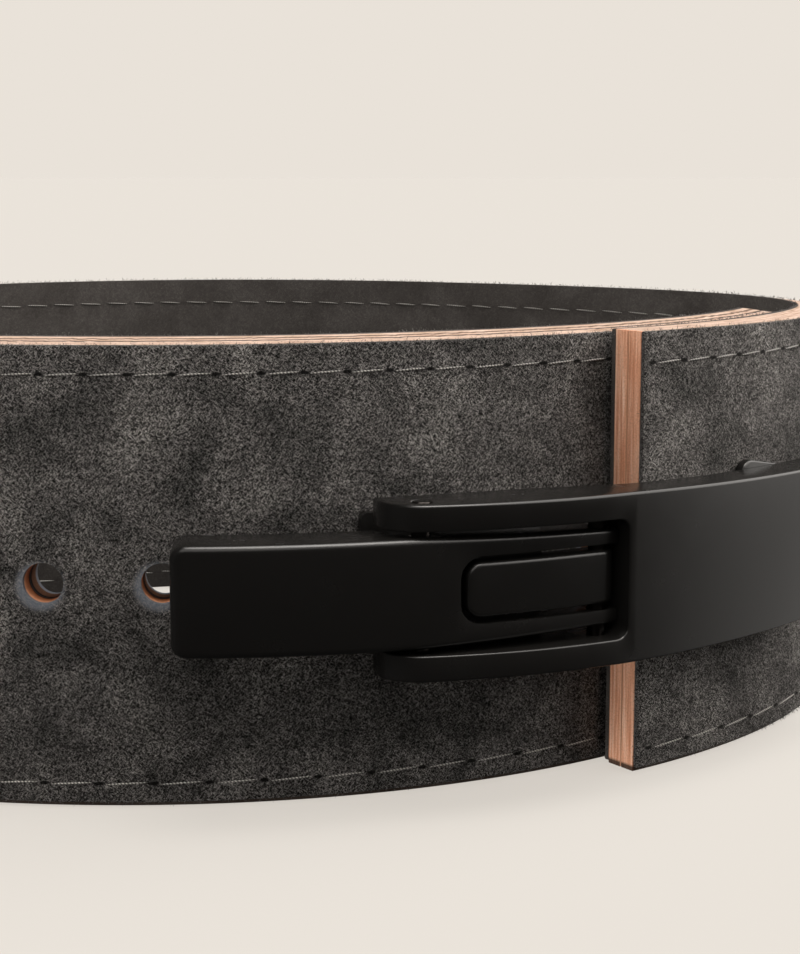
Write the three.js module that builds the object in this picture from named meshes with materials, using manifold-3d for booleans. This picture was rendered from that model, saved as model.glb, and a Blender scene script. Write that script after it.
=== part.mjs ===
// A weightlifting belt: a suede-faced leather strap in one loop, closed by a black lever buckle.
// Millimetres, +Z up. The strap stands on its lower edge and the buckle faces -Y.
// Every curved piece is made in strap coordinates: q runs along the strap's outer face from the cut
// buckle end, out is the distance outside that face, and z is the height above the ground.
import * as THREE from 'three';
import { mergeVertices } from 'three/addons/utils/BufferGeometryUtils.js';
import Module from 'manifold-3d';

const wasm = await Module();
wasm.setup();

// Play between two pieces that touch or turn in each other
const CLEARANCE = 0.3;

// Strap: two plies of leather between two suede facings
const STRAP_HEIGHT = 100;
const MID_DROP = 0.6; // the holes and the buckle lie this far below the strap's middle
const SUEDE_THICKNESS = 1.1;
const CORE_THICKNESS = 4;
const SUEDE_HEM = 0.5; // the suede ends this far above the lower edge
const RIM_RISE = 1.3; // the slanted top edge is higher on the wearer's side by this much
const SQUARE_END = 110; // length over which the buckle end's square edge turns into the slanted one
const SQUARE_LEVEL = 0.75; // share of the rise that the square end has on both sides
const TIP_CORNER = 25;
const STRAP_THICKNESS = 2 * SUEDE_THICKNESS + 2 * CORE_THICKNESS + 3 * CLEARANCE;

// Loop: the outer face's distance from the middle, as a mean and its waves round the loop
const LOOP_RADIUS = 135;
const LOOP_WAVES = [
  { waves: 2, cosine: -0.133, sine: -0.035 },
  { waves: 3, cosine: -0.022, sine: -0.008 },
  { waves: 4, cosine: 0.013, sine: 0.008 },
];
const CUT_HEADING = THREE.MathUtils.degToRad(35.7); // how far the strap has turned at its cut end
const OVERLAP = 103; // the tip lies this far inside the buckle end
const LAP_GAP = 1.2;
const LAP_MARGIN = 12; // the outer layer keeps its distance this far past the tip
const LAP_RUN = 130; // and then comes in over this length
const LAP_LIFT = STRAP_THICKNESS + LAP_GAP;

// Holes for the hook plate's prongs
const HOLE_COUNT = 11;
const HOLE_DIAMETER = 8.9;
const HOLE_PITCH = 25.4;
const TIP_MARGIN = 29.9; // from the strap's tip to its first hole
const HOOKED_HOLE = 4; // the prongs sit in this hole and the next, counted from the tip
const HOLE_SIDES = 16;

// Base plate, on the buckle end of the strap
const PLATE_START = 29;
const PLATE_LENGTH = 37;
const PLATE_HEIGHT = 41;
const PLATE_END_HEIGHT = 27; // it narrows towards its far end
const PLATE_THICKNESS = 2.5;
const PLATE_CORNER = 4;
const SCREW_DIAMETER = 5;
const SCREW_HEAD_DIAMETER = 9;
const SCREW_HEAD_HEIGHT = 1.4;
const SCREW_SPACING = 16;
const SCREW_BACK_HEIGHT = 0.6;
const SCREW_SIDES = 12;

// Lever
const LEVER_HEIGHT = 23.6;
const LEVER_HINGE_HEIGHT = 21.4; // it is narrower at the hinge
const LEVER_DEPTH = 12.5;
const LEVER_REACH = 48; // from the hook pin to the end that the hand takes
const LEVER_SET_BACK = 0.3; // its face is this far behind the frame's at the hook pin
const LEVER_ROOF = 1.5;
const LEVER_SIDE = 2;
const LEVER_CORNER = 3;
const LEVER_EDGE = 1.5;
const LEVER_WEB = 2.5; // wall between its hollow and the opening for the tongue
const NOTCH_PLAY = 1.5; // its side walls clear the hook pin by this much towards the hinge
const GRIP_DROP = 2; // the grip bends back towards the strap
const GRIP_WALL = 5;

// Frame: a fork whose slot holds the lever between two arms
const SLOT_PLAY = 1.3;
const SLOT_CORNER = 2.6;
const ARM_HEIGHT = 5.7;
const ARM_DIP = 3.6; // the arms' ends lie this much nearer to the strap
const ARM_NOSE = 7.6; // the arms run this far past the hook pin, rounded
const FRAME_DEPTH = 10;
const FRAME_TAPER = 1.1; // its far end is lower by this much above and below
const ARM_FOOT = 9; // distance of the arms' backs from the strap
const ARM_STEP = 36; // length over which they come down to it, beyond the strap's cut end
const FRAME_WALL = 3;
const FRAME_EDGE = 1;
const FRAME_CORNER = 4;
const FRAME_INSET = 6; // the frame ends this far before the base plate does

// Pins: the hinge pin carries the lever, and the hook pin carries the hook plate
const PIN_DIAMETER = 3.8;
const PIN_SEAT = 3.4; // the hinge pin's depth in each arm
const PIN_SIDES = 16;
const HINGE_PLACE = -16.3;
const KNUCKLE_RADIUS = 3;
const HOOK_PIN_SHIFT = -0.2; // from the second prong to the hook pin

// Tongue, in the lever's opening
const TONGUE_HEIGHT = 11.8;
const TONGUE_LENGTH = 29.9;
const TONGUE_DEPTH = 5;
const TONGUE_CORNER = 3.2;
const TONGUE_EDGE = 1;
const GROOVE = 1.4;

// Hook plate, with its prongs in the strap's holes and two ears on the hook pin
const HOOK_HEIGHT = 29;
const HOOK_THICKNESS = 2.5;
const HOOK_MARGIN = 8.6;
const HOOK_CORNER = 1.5;
const PRONG_DEPTH = 8;
const EAR_THICKNESS = 3;
const EAR_RADIUS = 3;
const EAR_PLAY = 0.8;

// Cutters run past the faces they cut by these lengths
const SMALL_PAST = 1;
const LARGE_PAST = 5;

// Fineness of the facets and of the search for a heading
const STRAP_STEP = 9.5;
const METAL_STEP = 5;
const CORNER_STEPS = 5;
const EDGE_STEPS = 2;
const EDGE_SHARE = 0.4; // a rounded edge takes at most this share of a low section
const HALVINGS = 40;

// Places worked out from the sizes above
const MID = STRAP_HEIGHT / 2 - MID_DROP;
const RIGHT_ANGLE = Math.PI / 2;
const LOOP_LENGTH = 2 * Math.PI * LOOP_RADIUS;
const TIP = LOOP_LENGTH + OVERLAP;
const PIN_HOLE_RADIUS = PIN_DIAMETER / 2 + CLEARANCE;
const SLOT_HEIGHT = LEVER_HEIGHT + 2 * SLOT_PLAY;
const FRAME_HEIGHT = SLOT_HEIGHT + 2 * ARM_HEIGHT;
const SLOT_END = HINGE_PLACE + KNUCKLE_RADIUS + CLEARANCE;
const HOOK_PIN_PLACE = holePlace(HOOKED_HOLE + 1) + HOOK_PIN_SHIFT;
const FRAME_START = HOOK_PIN_PLACE - ARM_NOSE;
const FRAME_END = PLATE_START + PLATE_LENGTH - FRAME_INSET;
const PLATE_BACK = LAP_LIFT + CLEARANCE;
const PLATE_FRONT = PLATE_BACK + PLATE_THICKNESS;
const LEVER_FRONT = frameFront(HOOK_PIN_PLACE) - LEVER_SET_BACK;
const LEVER_TIP = HOOK_PIN_PLACE - LEVER_REACH;
const HINGE_OUT = LEVER_FRONT - KNUCKLE_RADIUS;
const HOOK_PIN_OUT = frameFront(HOOK_PIN_PLACE) - FRAME_DEPTH / 2;
const OPENING_START = HINGE_PLACE - TONGUE_LENGTH - GROOVE;
const OPENING_HEIGHT = TONGUE_HEIGHT + 2 * GROOVE;

// The place of a hole on the single strap under the buckle, counted from the tip
function holePlace(count) {
  return OVERLAP - TIP_MARGIN - count * HOLE_PITCH;
}

// Distance of the loop's outer face from the middle in direction heading, and its first derivative
function support(heading) {
  let distance = LOOP_RADIUS;
  let slope = 0;
  for (const { waves, cosine, sine } of LOOP_WAVES) {
    const angle = waves * heading;
    distance += LOOP_RADIUS * (cosine * Math.cos(angle) + sine * Math.sin(angle));
    slope += LOOP_RADIUS * waves * (sine * Math.cos(angle) - cosine * Math.sin(angle));
  }
  return { distance, slope };
}

// Length along the loop from heading 0
function arcLength(heading) {
  let length = LOOP_RADIUS * heading;
  for (const { waves, cosine, sine } of LOOP_WAVES) {
    const angle = waves * heading;
    const share = (1 - waves * waves) / waves;
    length += LOOP_RADIUS * share * (cosine * Math.sin(angle) - sine * Math.cos(angle));
  }
  return length;
}

// The strap's heading at q, by halving the interval that holds it
function headingAt(q) {
  const target = q + arcLength(CUT_HEADING);
  let low = target / LOOP_RADIUS - 1;
  let high = low + 2;
  for (let i = 0; i < HALVINGS; i++) {
    const middle = (low + high) / 2;
    if (arcLength(middle) < target) low = middle;
    else high = middle;
  }
  return low;
}

// The point at q, out and z
function place(q, out, z) {
  const heading = headingAt(q);
  const { distance, slope } = support(heading);
  const outward = distance + out;
  return new THREE.Vector3(
    outward * Math.sin(heading) + slope * Math.cos(heading),
    -outward * Math.cos(heading) + slope * Math.sin(heading),
    z,
  );
}

// How much a rounded end of this radius takes off at a distance from the end
function roundedOff(distance, radius) {
  if (distance >= radius) return 0;
  return radius - Math.sqrt(Math.max(0, radius ** 2 - (radius - distance) ** 2));
}

// Places along q from start to end, closer together on the rounded ends
function stations(start, end, step, startRadius = 0, endRadius = 0) {
  const places = [];
  const count = Math.max(1, Math.ceil((end - endRadius - start - startRadius) / step));
  for (let i = 0; i < (startRadius ? CORNER_STEPS : 0); i++) {
    places.push(start + startRadius * (1 - Math.cos((i / CORNER_STEPS) * RIGHT_ANGLE)));
  }
  for (let i = 0; i <= count; i++) {
    places.push(THREE.MathUtils.lerp(start + startRadius, end - endRadius, i / count));
  }
  for (let i = (endRadius ? CORNER_STEPS : 0) - 1; i >= 0; i--) {
    places.push(end - endRadius * (1 - Math.cos((i / CORNER_STEPS) * RIGHT_ANGLE)));
  }
  return places;
}

// A closed solid through one section at each station. A section lists its corners as [out, z].
function sweep(places, section) {
  const rings = places.map((q) => section(q).map(([out, z]) => place(q, out, z)));
  const corners = rings[0].length;
  const last = (rings.length - 1) * corners;
  const index = [];
  for (let i = 0; i < rings.length - 1; i++) {
    for (let j = 0; j < corners; j++) {
      const here = i * corners + j;
      const next = i * corners + ((j + 1) % corners);
      index.push(here, next, here + corners, next, next + corners, here + corners);
    }
  }
  for (let j = 1; j < corners - 1; j++) {
    index.push(0, j + 1, j, last, last + j, last + j + 1);
  }
  const geometry = new THREE.BufferGeometry().setFromPoints(rings.flat());
  geometry.setIndex(index);
  return geometry;
}

// A rectangular section
function rectangle(back, front, low, high) {
  return [[back, low], [back, high], [front, high], [front, low]];
}

// A section with its two front edges rounded
function softRectangle(back, front, low, high, edge) {
  const radius = Math.min(edge, EDGE_SHARE * (high - low), (front - back) / 2);
  const corners = [[back, low], [back, high]];
  for (let i = 0; i <= EDGE_STEPS; i++) {
    const angle = (i / EDGE_STEPS) * RIGHT_ANGLE;
    corners.push([front - radius + radius * Math.sin(angle), high - radius + radius * Math.cos(angle)]);
  }
  for (let i = 0; i <= EDGE_STEPS; i++) {
    const angle = (i / EDGE_STEPS) * RIGHT_ANGLE;
    corners.push([front - radius + radius * Math.cos(angle), low + radius - radius * Math.sin(angle)]);
  }
  return corners;
}

// Joining and cutting
function solid(geometry) {
  const bare = geometry.clone();
  bare.deleteAttribute('normal');
  bare.deleteAttribute('uv');
  const merged = mergeVertices(bare);
  return new wasm.Manifold(new wasm.Mesh({
    numProp: 3,
    vertProperties: new Float32Array(merged.attributes.position.array),
    triVerts: new Uint32Array(merged.index.array),
  }));
}

function geometryOf(body) {
  const { vertProperties, triVerts } = body.getMesh();
  const geometry = new THREE.BufferGeometry();
  geometry.setAttribute('position', new THREE.BufferAttribute(vertProperties, 3));
  geometry.setIndex(new THREE.BufferAttribute(triVerts, 1));
  geometry.computeVertexNormals();
  return geometry;
}

// A round bar along Z at q and out
function uprightBar(q, out, low, high, radius) {
  const bar = new THREE.CylinderGeometry(radius, radius, high - low, PIN_SIDES);
  bar.rotateX(RIGHT_ANGLE);
  const middle = place(q, out, (low + high) / 2);
  return bar.translate(middle.x, middle.y, middle.z);
}

// Turns a geometry made along Y to point outwards at q, with its origin at the strap's outer face
function pointOutwards(geometry, q, z) {
  const base = place(q, 0, z);
  const outward = place(q, 1, z).sub(base);
  const turn = new THREE.Quaternion().setFromUnitVectors(new THREE.Vector3(0, 1, 0), outward);
  return geometry.applyQuaternion(turn).translate(base.x, base.y, base.z);
}

// A round bar that points outwards at q, from one distance to another
function outwardBar(q, z, from, to, radius, sides) {
  const bar = new THREE.CylinderGeometry(radius, radius, to - from, sides);
  return pointOutwards(bar.translate(0, (from + to) / 2, 0), q, z);
}

// How far the strap's outer face lies outside the loop at q
function lapLift(q) {
  const inwards = THREE.MathUtils.smoothstep(q, OVERLAP + LAP_MARGIN, OVERLAP + LAP_MARGIN + LAP_RUN);
  return LAP_LIFT * (1 - inwards);
}

// Height of the strap's top edge at q, a depth below its outer face
function rimHeight(q, depth) {
  const square = 1 - THREE.MathUtils.smoothstep(q, 0, SQUARE_END);
  const share = THREE.MathUtils.lerp(depth / STRAP_THICKNESS, SQUARE_LEVEL, square);
  return STRAP_HEIGHT + RIM_RISE * share;
}

// The front of the frame, which follows the strap and dips towards the arms' ends
function frameFront(q) {
  const share = Math.max(0, (SLOT_END - q) / (SLOT_END - HOOK_PIN_PLACE));
  return PLATE_FRONT + CLEARANCE + FRAME_DEPTH - ARM_DIP * share ** 2;
}

// The back of the frame: over the base plate it is flat, and the arms reach down towards the strap
function frameBack(q) {
  const down = THREE.MathUtils.smoothstep(-q, CLEARANCE, ARM_STEP);
  return THREE.MathUtils.lerp(PLATE_FRONT + CLEARANCE, ARM_FOOT, down);
}

// Half of the frame's height at q
function frameHalf(q) {
  const share = THREE.MathUtils.clamp((q - SLOT_END) / (FRAME_END - SLOT_END), 0, 1);
  return FRAME_HEIGHT / 2 - FRAME_TAPER * share;
}

// The front of the lever, which bends back at the grip
function leverFront(q) {
  const share = Math.max(0, (HOOK_PIN_PLACE - q) / LEVER_REACH);
  return LEVER_FRONT - GRIP_DROP * share ** 2;
}

// Half of the lever's height at q
function leverHalf(q) {
  const share = THREE.MathUtils.clamp((q - HOOK_PIN_PLACE) / (HINGE_PLACE - HOOK_PIN_PLACE), 0, 1);
  return THREE.MathUtils.lerp(LEVER_HEIGHT, LEVER_HINGE_HEIGHT, share) / 2;
}

// One layer of the strap, from one depth below the outer face to another
function ply(depth, thickness, hem) {
  return sweep(stations(0, TIP, STRAP_STEP, 0, TIP_CORNER), (q) => {
    const lift = lapLift(q);
    const tip = roundedOff(TIP - q, TIP_CORNER);
    const low = Math.max(hem, tip);
    const inner = depth + thickness;
    return [
      [lift - inner, low],
      [lift - inner, rimHeight(q, inner) - tip],
      [lift - depth, rimHeight(q, depth) - tip],
      [lift - depth, low],
    ];
  });
}

// Cutters for the strap: the holes near the tip, and the two for the screws
function strapCuts() {
  const radius = HOLE_DIAMETER / 2;
  const cuts = [];
  for (let i = 0; i < HOLE_COUNT; i++) {
    const q = holePlace(i);
    const to = q < 0 ? SMALL_PAST : LAP_GAP / 2;
    cuts.push(outwardBar(q, MID, -STRAP_THICKNESS - SMALL_PAST, to, radius, HOLE_SIDES));
  }
  for (const z of screwHeights()) {
    const from = LAP_GAP / 2;
    const to = LAP_LIFT + SMALL_PAST;
    cuts.push(outwardBar(screwPlace(), z, from, to, SCREW_DIAMETER / 2 + CLEARANCE, SCREW_SIDES));
  }
  return cuts;
}

function screwPlace() {
  return PLATE_START + PLATE_LENGTH / 2;
}

function screwHeights() {
  return [MID - SCREW_SPACING / 2, MID + SCREW_SPACING / 2];
}

function cutAll(geometry, cuts) {
  return geometryOf(cuts.reduce((body, cut) => body.subtract(solid(cut)), solid(geometry)));
}

// The strap's four layers, from the outside in
function strapLayers() {
  const rows = [
    { name: 'suede_outer', thickness: SUEDE_THICKNESS, hem: SUEDE_HEM, finish: suede },
    { name: 'core_outer', thickness: CORE_THICKNESS, hem: 0, finish: leather },
    { name: 'core_inner', thickness: CORE_THICKNESS, hem: 0, finish: leather },
    { name: 'suede_inner', thickness: SUEDE_THICKNESS, hem: SUEDE_HEM, finish: suede },
  ];
  const cuts = strapCuts();
  let depth = 0;
  return rows.map(({ name, thickness, hem, finish }) => {
    const layer = named(name, cutAll(ply(depth, thickness, hem), cuts), finish);
    depth += thickness + CLEARANCE;
    return layer;
  });
}

function basePlate() {
  const end = PLATE_START + PLATE_LENGTH;
  const plate = sweep(stations(PLATE_START, end, METAL_STEP, PLATE_CORNER, PLATE_CORNER), (q) => {
    const off = roundedOff(q - PLATE_START, PLATE_CORNER) + roundedOff(end - q, PLATE_CORNER);
    const along = (q - PLATE_START) / PLATE_LENGTH;
    const half = THREE.MathUtils.lerp(PLATE_HEIGHT, PLATE_END_HEIGHT, along) / 2 - off;
    return rectangle(PLATE_BACK, PLATE_FRONT, MID - half, MID + half);
  });
  const holes = screwHeights().map((z) => outwardBar(
    screwPlace(), z, PLATE_BACK - SMALL_PAST, PLATE_FRONT + SMALL_PAST,
    SCREW_DIAMETER / 2 + CLEARANCE, SCREW_SIDES,
  ));
  return cutAll(plate, holes);
}

// A screw with a head on the plate and a flat cap behind the strap, turned as one profile
function screw(z) {
  const head = SCREW_HEAD_DIAMETER / 2;
  const shank = SCREW_DIAMETER / 2;
  const seat = PLATE_FRONT + CLEARANCE;
  const cap = LAP_GAP - CLEARANCE;
  const profile = [
    [0, cap - SCREW_BACK_HEIGHT],
    [head, cap - SCREW_BACK_HEIGHT],
    [head, cap],
    [shank, cap],
    [shank, seat],
    [head, seat],
    [head, seat + SCREW_HEAD_HEIGHT],
    [0, seat + SCREW_HEAD_HEIGHT],
  ].map(([radius, out]) => new THREE.Vector2(radius, out));
  return pointOutwards(new THREE.LatheGeometry(profile, SCREW_SIDES), screwPlace(), z);
}

function frame() {
  const half = FRAME_HEIGHT / 2;
  const body = sweep(stations(FRAME_START, FRAME_END, METAL_STEP, ARM_NOSE, FRAME_CORNER), (q) => {
    const front = frameFront(q);
    const nose = roundedOff(q - FRAME_START, ARM_NOSE);
    const end = roundedOff(FRAME_END - q, FRAME_CORNER);
    const high = frameHalf(q) - end;
    return softRectangle(frameBack(q), front - nose, MID - high, MID + high, FRAME_EDGE);
  });
  const slot = sweep(stations(FRAME_START - LARGE_PAST, SLOT_END, METAL_STEP, 0, SLOT_CORNER), (q) => {
    const high = SLOT_HEIGHT / 2 - roundedOff(SLOT_END - q, SLOT_CORNER);
    const front = PLATE_FRONT + FRAME_DEPTH + LARGE_PAST;
    return rectangle(0, front, MID - high, MID + high);
  });
  const hollow = sweep(stations(SLOT_END + FRAME_WALL, FRAME_END - FRAME_WALL, METAL_STEP), () => {
    const high = SLOT_HEIGHT / 2;
    const roof = PLATE_FRONT + CLEARANCE + FRAME_DEPTH - FRAME_WALL;
    return rectangle(LAP_LIFT, roof, MID - high, MID + high);
  });
  const hookPinHole = uprightBar(
    HOOK_PIN_PLACE, HOOK_PIN_OUT, MID - half - SMALL_PAST, MID + half + SMALL_PAST, PIN_HOLE_RADIUS,
  );
  const seat = SLOT_HEIGHT / 2 + PIN_SEAT + CLEARANCE;
  const hingeHole = uprightBar(HINGE_PLACE, HINGE_OUT, MID - seat, MID + seat, PIN_HOLE_RADIUS);
  return cutAll(body, [slot, hollow, hookPinHole, hingeHole]);
}

function lever() {
  const body = sweep(stations(LEVER_TIP, HINGE_PLACE, METAL_STEP, LEVER_CORNER), (q) => {
    const front = leverFront(q);
    const off = roundedOff(q - LEVER_TIP, LEVER_CORNER);
    const half = leverHalf(q) - off;
    return softRectangle(front - LEVER_DEPTH, front - off, MID - half, MID + half, LEVER_EDGE);
  });
  const hingeHalf = leverHalf(HINGE_PLACE);
  const knuckle = uprightBar(
    HINGE_PLACE, HINGE_OUT, MID - hingeHalf, MID + hingeHalf, KNUCKLE_RADIUS,
  );
  const opening = sweep(
    stations(OPENING_START, HINGE_PLACE + LARGE_PAST, METAL_STEP, TONGUE_CORNER + GROOVE),
    (q) => {
      const high = OPENING_HEIGHT / 2 - roundedOff(q - OPENING_START, TONGUE_CORNER + GROOVE);
      return rectangle(0, LEVER_FRONT + LARGE_PAST, MID - high, MID + high);
    },
  );
  const hollow = sweep(stations(LEVER_TIP + GRIP_WALL, OPENING_START - LEVER_WEB, METAL_STEP), (q) => {
    const high = leverHalf(q) - LEVER_SIDE;
    return rectangle(0, leverFront(q) - LEVER_ROOF, MID - high, MID + high);
  });
  // The side walls are notched for the hook pin, wider towards the hinge so that it clears as it opens
  const notchStart = HOOK_PIN_PLACE - PIN_HOLE_RADIUS - CLEARANCE;
  const notchEnd = HOOK_PIN_PLACE + PIN_HOLE_RADIUS + NOTCH_PLAY;
  const notch = sweep([notchStart, notchEnd], () => (
    rectangle(0, HOOK_PIN_OUT + PIN_HOLE_RADIUS, MID - LEVER_HEIGHT, MID + LEVER_HEIGHT)
  ));
  const pinHole = uprightBar(HINGE_PLACE, HINGE_OUT, 0, STRAP_HEIGHT, PIN_HOLE_RADIUS);
  const joined = solid(body).add(solid(knuckle));
  return cutAll(geometryOf(joined), [opening, hollow, notch, pinHole]);
}

function tongue() {
  const start = HINGE_PLACE - TONGUE_LENGTH;
  const half = TONGUE_HEIGHT / 2;
  const body = sweep(stations(start, HINGE_PLACE, METAL_STEP, TONGUE_CORNER), (q) => {
    const high = half - roundedOff(q - start, TONGUE_CORNER);
    const back = LEVER_FRONT - TONGUE_DEPTH;
    return softRectangle(back, LEVER_FRONT, MID - high, MID + high, TONGUE_EDGE);
  });
  const knuckle = uprightBar(HINGE_PLACE, HINGE_OUT, MID - half, MID + half, KNUCKLE_RADIUS);
  const pinHole = uprightBar(HINGE_PLACE, HINGE_OUT, 0, STRAP_HEIGHT, PIN_HOLE_RADIUS);
  return cutAll(geometryOf(solid(body).add(solid(knuckle))), [pinHole]);
}

function hookPlate() {
  const back = CLEARANCE;
  const front = back + HOOK_THICKNESS;
  const start = holePlace(HOOKED_HOLE + 1) - HOOK_MARGIN;
  const end = holePlace(HOOKED_HOLE) + HOOK_MARGIN;
  const plate = sweep(stations(start, end, METAL_STEP, HOOK_CORNER, HOOK_CORNER), (q) => {
    const off = roundedOff(q - start, HOOK_CORNER) + roundedOff(end - q, HOOK_CORNER);
    const half = HOOK_HEIGHT / 2 - off;
    return rectangle(back, front, MID - half, MID + half);
  });
  const prongRadius = HOLE_DIAMETER / 2 - CLEARANCE;
  let body = solid(plate);
  for (const count of [HOOKED_HOLE, HOOKED_HOLE + 1]) {
    const middle = (back + front) / 2;
    const prong = outwardBar(holePlace(count), MID, -PRONG_DEPTH, middle, prongRadius, HOLE_SIDES);
    body = body.add(solid(prong));
  }
  const earHigh = LEVER_HEIGHT / 2 - LEVER_SIDE - EAR_PLAY;
  for (const low of [MID - earHigh, MID + earHigh - EAR_THICKNESS]) {
    const high = low + EAR_THICKNESS;
    const sides = [HOOK_PIN_PLACE - EAR_RADIUS, HOOK_PIN_PLACE + EAR_RADIUS];
    const post = sweep(sides, () => rectangle((back + front) / 2, HOOK_PIN_OUT, low, high));
    const eye = uprightBar(HOOK_PIN_PLACE, HOOK_PIN_OUT, low, high, EAR_RADIUS);
    body = body.add(solid(post)).add(solid(eye));
  }
  const pinHole = uprightBar(HOOK_PIN_PLACE, HOOK_PIN_OUT, 0, STRAP_HEIGHT, PIN_HOLE_RADIUS);
  return cutAll(geometryOf(body), [pinHole]);
}

function pin(q, out, half) {
  return uprightBar(q, out, MID - half, MID + half, PIN_DIAMETER / 2);
}

// Finishes
const suede = new THREE.MeshStandardMaterial({ color: 0x403d3a, roughness: 0.95, metalness: 0 });
const leather = new THREE.MeshStandardMaterial({ color: 0xcf9a76, roughness: 0.75, metalness: 0 });
const black = new THREE.MeshStandardMaterial({ color: 0x1a1918, roughness: 0.5, metalness: 0.6 });
const steel = new THREE.MeshStandardMaterial({ color: 0x55524f, roughness: 0.25, metalness: 1 });

function named(name, geometry, finish) {
  const mesh = new THREE.Mesh(geometry, finish);
  mesh.name = name;
  return mesh;
}

const group = new THREE.Group();
group.add(...strapLayers());
group.add(named('base_plate', basePlate(), black));
screwHeights().forEach((z, i) => group.add(named(`mount_screw_${i + 1}`, screw(z), steel)));
group.add(named('frame', frame(), black));
group.add(named('hook_plate', hookPlate(), black));
group.add(named('hook_pin', pin(HOOK_PIN_PLACE, HOOK_PIN_OUT, FRAME_HEIGHT / 2), steel));
group.add(named('lever', lever(), black));
group.add(named('tongue', tongue(), black));
group.add(named('hinge_pin', pin(HINGE_PLACE, HINGE_OUT, SLOT_HEIGHT / 2 + PIN_SEAT), steel));

// The origin is the middle of the belt's box, on the ground
const middle = new THREE.Box3().setFromObject(group).getCenter(new THREE.Vector3());
group.position.set(-middle.x, -middle.y, 0);

export default group;
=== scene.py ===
import math

import bmesh
import bpy
import numpy as np
from mathutils import Matrix, Vector


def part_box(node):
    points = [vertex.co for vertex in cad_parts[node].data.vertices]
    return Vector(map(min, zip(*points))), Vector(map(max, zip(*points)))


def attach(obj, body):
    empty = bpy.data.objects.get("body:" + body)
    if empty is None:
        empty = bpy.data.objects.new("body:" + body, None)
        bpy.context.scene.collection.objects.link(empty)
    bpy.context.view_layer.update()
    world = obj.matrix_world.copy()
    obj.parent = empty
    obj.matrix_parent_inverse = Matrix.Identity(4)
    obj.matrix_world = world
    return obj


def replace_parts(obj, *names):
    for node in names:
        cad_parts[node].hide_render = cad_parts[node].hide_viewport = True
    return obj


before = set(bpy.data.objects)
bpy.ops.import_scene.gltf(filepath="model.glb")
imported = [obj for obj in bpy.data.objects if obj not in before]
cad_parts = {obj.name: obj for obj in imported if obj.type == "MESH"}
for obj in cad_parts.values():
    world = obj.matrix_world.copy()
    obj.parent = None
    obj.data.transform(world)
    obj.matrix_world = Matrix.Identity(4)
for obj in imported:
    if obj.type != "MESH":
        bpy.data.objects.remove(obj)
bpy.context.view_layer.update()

# Sizes are in millimetres and in strap coordinates, as in the part's source: q runs along the strap's
# outer face from the cut end, out is the distance outside that face, and z is the height.
MM = 0.001
LOOP_RADIUS = 135
LOOP_LENGTH = 2 * math.pi * LOOP_RADIUS
LOOP_WAVES = ((2, -0.133, -0.035), (3, -0.022, -0.008), (4, 0.013, 0.008))
CUT_HEADING = math.radians(35.7)
OVERLAP = 103
TIP = LOOP_LENGTH + OVERLAP
STRAP_HEIGHT = 100
MID_DROP = 0.6
MID = STRAP_HEIGHT / 2 - MID_DROP
SUEDE_THICKNESS = 1.1
CORE_THICKNESS = 4
CLEARANCE = 0.3
STRAP_THICKNESS = 2 * SUEDE_THICKNESS + 2 * CORE_THICKNESS + 3 * CLEARANCE
LAP_GAP = 1.2
LAP_LIFT = STRAP_THICKNESS + LAP_GAP
LAP_MARGIN = 12
LAP_RUN = 130
RIM_RISE = 1.3
SQUARE_END = 110
SQUARE_LEVEL = 0.75
TIP_CORNER = 25
HOLE_COUNT = 11
HOLE_DIAMETER = 8.9
HOLE_PITCH = 25.4
TIP_MARGIN = 29.9
PLATE_START = 29
PLATE_LENGTH = 37
PLATE_HEIGHT = 41
PLATE_END_HEIGHT = 27
PLATE_THICKNESS = 2.5
PLATE_CORNER = 4
PLATE_BACK = LAP_LIFT + CLEARANCE
PLATE_FRONT = PLATE_BACK + PLATE_THICKNESS
LEVER_HEIGHT = 23.6
LEVER_HINGE_HEIGHT = 21.4
LEVER_DEPTH = 12.5
LEVER_REACH = 48
LEVER_SET_BACK = 0.3
LEVER_CORNER = 3
LEVER_EDGE = 1.5
GRIP_DROP = 2
SLOT_PLAY = 1.3
SLOT_HEIGHT = LEVER_HEIGHT + 2 * SLOT_PLAY
SLOT_CORNER = 2.6
ARM_HEIGHT = 5.7
ARM_DIP = 3.6
ARM_NOSE = 7.6
FRAME_HEIGHT = SLOT_HEIGHT + 2 * ARM_HEIGHT
FRAME_DEPTH = 10
FRAME_WALL = 3
FRAME_TAPER = 1.1
ARM_FOOT = 9
ARM_STEP = 36
FRAME_EDGE = 0.7
FRAME_CORNER = 4
PLATE_MARGIN = 6
FRAME_END = PLATE_START + PLATE_LENGTH - PLATE_MARGIN
PIN_DIAMETER = 3.8
PIN_SEAT = 3.4
HINGE_PLACE = -16.3
KNUCKLE_RADIUS = 3
HOOK_PIN_HOLE = 5
HOOK_PIN_SHIFT = 0.2
HOOK_PIN_PLACE = OVERLAP - TIP_MARGIN - HOOK_PIN_HOLE * HOLE_PITCH - HOOK_PIN_SHIFT
FRAME_START = HOOK_PIN_PLACE - ARM_NOSE
SLOT_END = HINGE_PLACE + KNUCKLE_RADIUS + CLEARANCE
TONGUE_HEIGHT = 11.8
TONGUE_LENGTH = 29.9
TONGUE_CORNER = 3.2
TONGUE_EDGE = 1
GROOVE = 1.4
LEVER_ROOF = 1.5
LEVER_SIDE = 2
LEVER_WEB = 2.5
GRIP_WALL = 5
NOTCH_PLAY = 1.5
PIN_HOLE_RADIUS = PIN_DIAMETER / 2 + CLEARANCE
TOP_STITCHES = {"start": 2.4, "height": 94, "pitch": 9.3}
LOWER_STITCHES = {"start": 3.2, "height": 5.4, "pitch": 11.9}
STITCH_TILT = math.radians(3)
STITCH_SHARE = 0.38
STITCH_PROUD = 0.05
THREAD_DEPTH = 0.26
THREAD_HEIGHT = 0.2
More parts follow.
